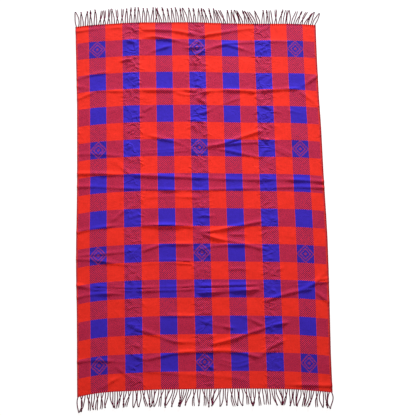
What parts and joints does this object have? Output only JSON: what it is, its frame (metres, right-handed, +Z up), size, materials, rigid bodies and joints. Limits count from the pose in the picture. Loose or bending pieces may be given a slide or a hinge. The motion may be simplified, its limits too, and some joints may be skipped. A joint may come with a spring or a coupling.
{
  "type": "checked shoulder blanket, laid flat",
  "caption": "Woven checked blanket worn over the shoulders, laid out flat with shallow creases and a twisted fringe along both ends.",
  "frame": {"origin": "on the floor under the middle of the whole blanket, fringe included", "axes": "+Z up off the floor, +Y along the cloth towards its head edge, +X across it to the right as seen from above"},
  "size_m": [1.4322, 2.2832, 0.0105],
  "materials": {
    "woven_check": "matt brushed weave in red and blue squares",
    "fringe_yarn": "matt twisted yarn in mixed red and blue"
  },
  "bodies": {
    "root": {"cloth": "woven_check", "fringe_head": "fringe_yarn", "fringe_foot": "fringe_yarn"}
  },
  "joints": []
}
